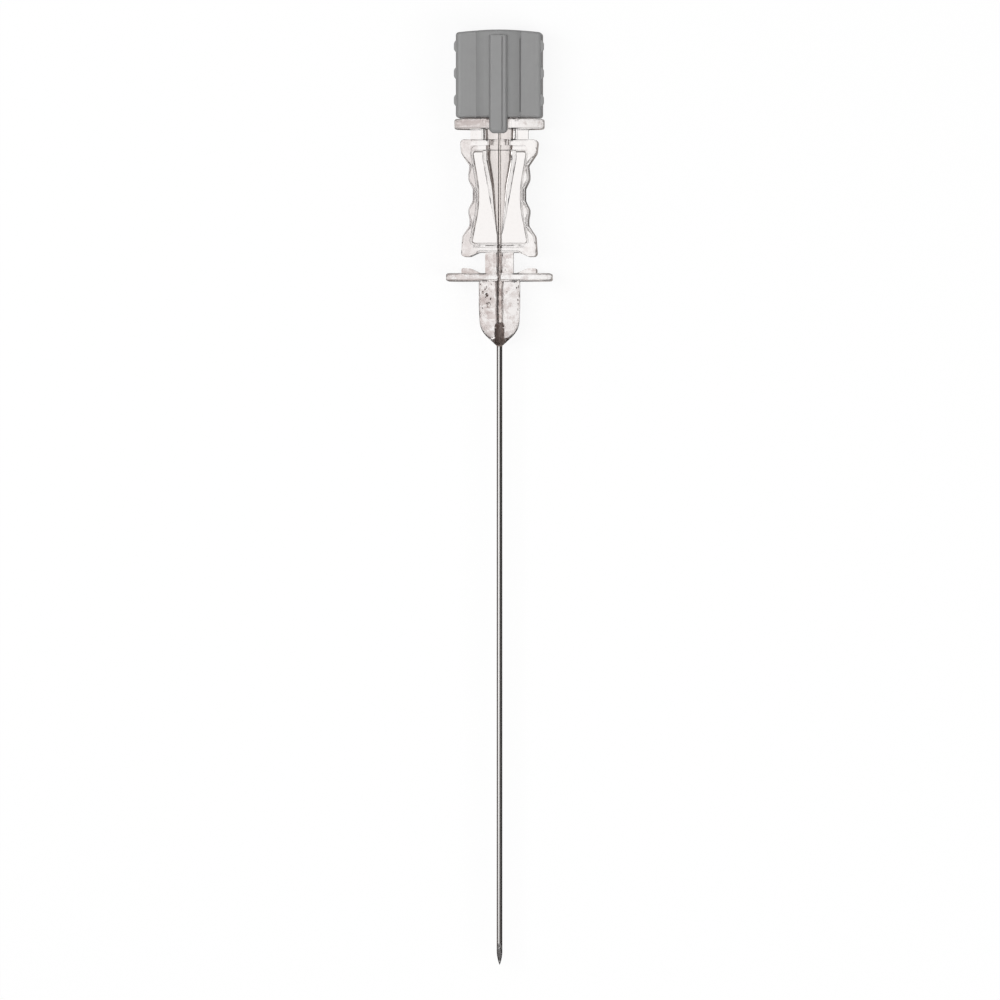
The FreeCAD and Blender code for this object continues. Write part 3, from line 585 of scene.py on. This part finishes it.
class NEEDLE_OT_tube(bpy.types.Operator):
    """Turns the steel tube with its bore and key grooves, and grinds its point"""

    bl_idname = "needle.tube"
    bl_label = "Steel tube"

    def execute(self, context):
        settings = context.scene.needle_steel
        low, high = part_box("cannula")
        radius, bore = outer_radius("cannula"), settings.bore / 2
        end = low.y - settings.bevel_setback
        outline = [(bore, high.y), (bore, end), (radius, end), (radius, 0)]
        for number in range(settings.groove_count):
            start = number * settings.groove_pitch
            outline.append((radius - settings.groove_depth, start + settings.groove_pitch / 2))
            outline.append((radius, start + settings.groove_pitch))
        outline += [(radius, high.y), (bore, high.y)]
        drawn = steel(
            "drawn_steel",
            settings,
            settings.tube_colour,
            settings.tube_roughness,
            DRAWN_LINES,
            settings.tube_lines,
        )
        ground = steel(
            "ground_steel",
            settings,
            settings.ground_colour,
            settings.ground_roughness,
            GROUND_LINES,
            settings.fine_lines,
        )
        tube = turned_piece("steel_tube", outline, settings.tube_steps)
        tube.data.materials.append(drawn)
        sharpen(tube, settings, ground)
        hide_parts("cannula")
        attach(tube, NEEDLE)
        return {"FINISHED"}


class NEEDLE_OT_wire(bpy.types.Operator):
    """Turns the stylet wire and grinds its end flush with the tube's point"""

    bl_idname = "needle.wire"
    bl_label = "Stylet wire"

    def execute(self, context):
        settings = context.scene.needle_steel
        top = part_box("stylet")[1].y
        radius = outer_radius("stylet")
        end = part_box("cannula")[0].y - settings.bevel_setback
        outline = [(0, end), (radius, end), (radius, top), (0, top)]
        bright = steel(
            "bright_wire",
            settings,
            settings.wire_colour,
            settings.wire_roughness,
            DRAWN_LINES,
            settings.fine_lines,
        )
        ground = steel(
            "ground_wire",
            settings,
            settings.ground_colour,
            settings.end_roughness,
            GROUND_LINES,
            settings.fine_lines,
        )
        wire = turned_piece("stylet_wire", outline, settings.wire_steps)
        wire.data.materials.append(bright)
        sharpen(wire, settings, ground)
        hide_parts("stylet")
        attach(wire, STYLET)
        return {"FINISHED"}


class NEEDLE_OT_adhesive(bpy.types.Operator):
    """Fills the nose's well with glue, with a small collar round the tube"""

    bl_idname = "needle.adhesive"
    bl_label = "Adhesive"

    def execute(self, context):
        settings = context.scene.needle_glue
        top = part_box("adhesive")[1].y
        tube = outer_radius("cannula")
        inside = tube * 0.97
        mouth = outer_radius("adhesive") + settings.film
        outline = [
            # The collar under the nose.
            (inside, -settings.meniscus),
            (tube + settings.film, -settings.meniscus * 0.7),
            (tube * 1.12, -settings.meniscus * 0.2),
            # The filled well.
            (mouth, 0),
            (mouth * 0.92, top),
            # The glue drawn up the tube above the well.
            (tube * 1.08, top + settings.meniscus * 1.2),
            (inside, top + settings.meniscus * 2),
            (inside, -settings.meniscus),
        ]
        plug = turned_piece("adhesive_plug", outline, settings.steps)
        plug.data.materials.append(adhesive_finish(settings))
        smooth_sides(plug, 50)
        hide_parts("adhesive")
        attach(plug, NEEDLE)
        return {"FINISHED"}


class NEEDLE_OT_specks(bpy.types.Operator):
    """Scatters bubbles and flecks of glue in the nose, most of them on the left and near the wings"""

    bl_idname = "needle.specks"
    bl_label = "Bubbles and flecks"

    def execute(self, context):
        settings = context.scene.needle_glue
        chance = random.Random(settings.seed)
        air = trapped_air_finish(context.scene.needle_plastic.clear_ior)
        groups = (
            ("trapped_bubbles", settings.bubbles, settings.bubble_size, air),
            ("glue_flecks", settings.flecks, settings.fleck_size, adhesive_finish(settings)),
        )
        for name, count, largest, material in groups:
            start_piece()
            for number in range(count):
                size = largest * chance.uniform(SMALLEST_SPECK, 1) ** 2
                side = -1 if chance.random() < LEFT_SHARE else 1
                across = side * chance.uniform(SPECK_START, 1) * settings.speck_radius
                room = math.sqrt(settings.speck_radius**2 - across**2)
                rise = chance.random() ** SPECK_CROWDING
                along = settings.speck_low + rise * (settings.speck_high - settings.speck_low)
                bpy.ops.mesh.primitive_ico_sphere_add(
                    subdivisions=3,
                    radius=size,
                    location=(across, along, chance.uniform(*SPECK_DEPTHS) * room),
                    rotation=(chance.uniform(*SPECK_TILTS), chance.uniform(*SPECK_TILTS), 0),
                    scale=(chance.uniform(*SPECK_WIDTHS), chance.uniform(*SPECK_LENGTHS), SPECK_HEIGHT),
                )
                if number:
                    group.select_set(True)
                    bpy.context.view_layer.objects.active = group
                    bpy.ops.object.join()
                group = bpy.context.object
            specks = name_new_piece(name)
            settle(specks)
            specks.data.materials.clear()
            specks.data.materials.append(material)
            smooth_sides(specks, 180)
            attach(specks, NEEDLE)
        return {"FINISHED"}


class NEEDLE_OT_hub(bpy.types.Operator):
    """Gives the hub its clear plastic"""

    bl_idname = "needle.hub"
    bl_label = "Clear hub"

    def execute(self, context):
        finish_node("hub", clear_plastic(context.scene.needle_plastic))
        return {"FINISHED"}


class NEEDLE_OT_cap(bpy.types.Operator):
    """Gives the stylet's cap its grey plastic"""

    bl_idname = "needle.cap"
    bl_label = "Grey cap"

    def execute(self, context):
        finish_node("stylet_cap", cap_plastic(context.scene.needle_plastic))
        return {"FINISHED"}


def finish_node(node, material):
    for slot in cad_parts[node].material_slots:
        slot.material = material


def floor_finish(settings):
    """White where it is looked at, also through clear plastic, and lit and shadowed for the rest.

    Plastic sees it as a lit table between two brown bands of painted shade, which draw its edges in dark
    lines. What is mirrored of it is painted reflection: grey on the left and dark on the right, with a pale
    strip beside the hub.
    """
    material, finish = new_finish("pale_floor")
    camera, glossy, transmitted = finish.ray_kinds()
    across = finish.axes(finish.add("TexCoord", output="Object"))[0]
    # Nought is the outer edge of the left band of painted shade and one that of the right band.
    place = across * (0.5 / settings.painted_shade_reach) + 0.5
    painted_shade_band = tuple(settings.painted_shade_colour)
    outside = (0.75, 0.73, 0.72)
    table = finish.bands(
        place,
        (0.0, outside),
        (0.18, painted_shade_band),
        (0.32, painted_shade_band),
        (0.39, WHITE),
        (0.61, WHITE),
        (0.66, painted_shade_band),
        (0.8, shaded(painted_shade_band, 0.6)),
        (1.0, outside),
    )
    dusk = (0.12, 0.1, 0.09)
    night = grey(0.03)
    strip = (0.36, 0.32, 0.3)
    # Painted reflection: what steel mirrors of the floor glows grey on the left, dark on the right, with a
    # pale strip.
    mirrored = finish.bands(
        place,
        (0.0, dusk),
        (0.43, dusk),
        (0.45, grey(0.2)),
        (0.49, grey(0.2)),
        (0.51, grey(0.05)),
        (0.55, night),
        (0.58, strip),
        (0.62, strip),
        (0.65, night),
        (1.0, night),
    )
    paint = finish.add("BsdfDiffuse", inputs={"Color": (*settings.floor_paint, 1)})
    white = finish.add("Emission", inputs={"Color": (*WHITE, 1), "Strength": settings.floor_glow})
    through = finish.add("Emission", inputs={"Color": dimmed(finish, settings, table, *FLOOR_FADE)})
    beside = finish.add("Emission", inputs={"Color": mirrored})
    seen = finish.add("MixShader", inputs={0: settings.floor_light, 1: paint, 2: white})
    surface = finish.add("MixShader", inputs={0: camera, 1: paint, 2: seen})
    surface = finish.add("MixShader", inputs={0: glossy, 1: surface, 2: beside})
    finish_surface(finish, finish.add("MixShader", inputs={0: transmitted, 1: surface, 2: through}))
    return material


def dimmed(finish, settings, colour, first, last):
    """A colour as seen through clear plastic, with painted shade: darker and browner for ways through many
    faces.
    """
    depth = finish.add("LightPath", output="Ray Depth")
    amount = finish.add("MapRange", inputs={"Value": depth, "From Min": first, "From Max": last})
    return finish.mix_colours(amount, colour, settings.room_dark)


def room_light(settings, world):
    """White behind the object for the camera, and soft grey light.

    Steel sees a long bright lamp overhead, and past the point a dark board. Plastic sees a dim room with a
    lamp overhead.
    """
    finish = Finish(world)
    across, forward, up = finish.axes(finish.add("TexCoord", output="Generated"))
    # The direction round the needle's axis: nought is below, a quarter left, a half above.
    lean = finish.add("Math", {"operation": "ARCTAN2"}, {0: across, 1: up}) * (1 / FULL_TURN) + 0.5
    strip = finish.bands(
        lean,
        (0.0, grey(0.19)),
        (0.25, grey(0.12)),
        (0.32, (0.1, 0.095, 0.09)),
        (0.39, WHITE),
        (0.46, WHITE),
        (0.52, (0.15, 0.14, 0.135)),
        (0.6, (0.02, 0.018, 0.018)),
        (0.75, grey(0.018)),
        (1.0, grey(0.03)),
    )
    beyond = finish.ramp(across.size(), 0.45, 0.8)
    board = finish.mix_colours(beyond, (0.06, 0.055, 0.05), (0.02, 0.018, 0.018))
    mirrored = finish.mix_colours(finish.ramp(forward, -0.2, -0.4), strip, board)
    sides = finish.bands(
        across * 0.5 + 0.5,
        (0.0, (0.27, 0.24, 0.225)),
        (0.44, (0.31, 0.275, 0.255)),
        (0.52, WHITE),
        (1.0, (0.7, 0.68, 0.67)),
    )
    dark = tuple(settings.room_dark)
    lamp = grey(settings.overhead_light)
    above = finish.bands(lean, (0.0, dark), (0.42, dark), (0.47, lamp), (0.66, lamp), (0.71, dark))
    dome = finish.mix_colours(finish.ramp(up, 0.12, 0.5), sides, above)
    camera, glossy, transmitted = finish.ray_kinds()
    soft = finish.add("Background", inputs={"Color": (*WHITE, 1), "Strength": settings.soft_light})
    shiny = finish.add("Background", inputs={"Color": mirrored, "Strength": settings.mirror_light})
    through = finish.add("Background", inputs={"Color": dimmed(finish, settings, dome, *ROOM_FADE)})
    back = finish.add("Background", inputs={"Color": (*WHITE, 1)})
    view = finish.add("MixShader", inputs={0: glossy, 1: soft, 2: shiny})
    view = finish.add("MixShader", inputs={0: transmitted, 1: view, 2: through})
    view = finish.add("MixShader", inputs={0: camera, 1: view, 2: back})
    finish.add("OutputWorld", inputs={"Surface": view})


def add_lamp(name, place, target, size, power):
    """A soft lamp that looks at a point. It is neither mirrored nor seen through clear plastic."""
    data = bpy.data.lights.new(name, "AREA")
    data.shape = "RECTANGLE"
    data.size, data.size_y = size
    data.energy = power
    lamp = bpy.data.objects.new(name, data)
    lamp.visible_glossy = False
    lamp.visible_transmission = False
    lamp.location = place
    lamp.rotation_mode = "QUATERNION"
    lamp.rotation_quaternion = (Vector(target) - Vector(place)).to_track_quat("-Z", "Y")
    bpy.context.scene.collection.objects.link(lamp)


class NEEDLE_OT_stage(bpy.types.Operator):
    """Lays the floor, hangs the lamps and sets up the camera"""

    bl_idname = "needle.stage"
    bl_label = "Stage"

    def execute(self, context):
        settings = context.scene.needle_stage
        start_piece()
        bpy.ops.mesh.primitive_plane_add(size=settings.reach, location=(0, 0, cad_box[0].z))
        floor = name_new_piece("floor")
        settle(floor)
        floor.data.materials.append(floor_finish(settings))
        world = bpy.data.worlds.new("room")
        context.scene.world = world
        room_light(settings, world)
        centre = Vector((settings.view_offset, settings.view_centre, 0))
        for name, place, size, power in LAMPS:
            add_lamp(name, place, centre, size, power)
        turn = settings.view_turn
        camera_data = bpy.data.cameras.new("camera")
        camera_data.lens = camera_data.sensor_width * settings.view_distance / settings.view_width
        camera = bpy.data.objects.new("camera", camera_data)
        camera.location = centre + Vector((math.sin(turn), 0, math.cos(turn))) * settings.view_distance
        camera.rotation_euler = (0, turn, 0)
        context.scene.collection.objects.link(camera)
        context.scene.camera = camera
        context.scene.view_settings.view_transform = "Standard"
        return {"FINISHED"}


OPERATORS = (
    NEEDLE_OT_stage,
    NEEDLE_OT_hub,
    NEEDLE_OT_cap,
    NEEDLE_OT_tube,
    NEEDLE_OT_wire,
    NEEDLE_OT_adhesive,
    NEEDLE_OT_specks,
)
SETTINGS = {
    "needle_steel": SteelSettings,
    "needle_glue": GlueSettings,
    "needle_plastic": PlasticSettings,
    "needle_stage": StageSettings,
}


class NEEDLE_PT_panel(bpy.types.Panel):
    """Lists the needle's pieces and their settings"""

    bl_idname = "NEEDLE_PT_panel"
    bl_label = "Spinal needle"
    bl_space_type = "VIEW_3D"
    bl_region_type = "UI"
    bl_category = "Needle"

    def draw(self, context):
        for operator in OPERATORS:
            self.layout.operator(operator.bl_idname)
        for name, group in SETTINGS.items():
            box = self.layout.box()
            for field in group.__annotations__:
                box.prop(getattr(context.scene, name), field)


def register():
    for made in (*SETTINGS.values(), *OPERATORS, NEEDLE_PT_panel):
        bpy.utils.register_class(made)
    for name, group in SETTINGS.items():
        setattr(bpy.types.Scene, name, bpy.props.PointerProperty(type=group))


def unregister():
    for name in SETTINGS:
        delattr(bpy.types.Scene, name)
    for made in reversed((*SETTINGS.values(), *OPERATORS, NEEDLE_PT_panel)):
        bpy.utils.unregister_class(made)


def main():
    register()
    for operator in OPERATORS:
        getattr(bpy.ops.needle, operator.bl_idname.split(".")[1])()


if __name__ == "__main__":
    main()
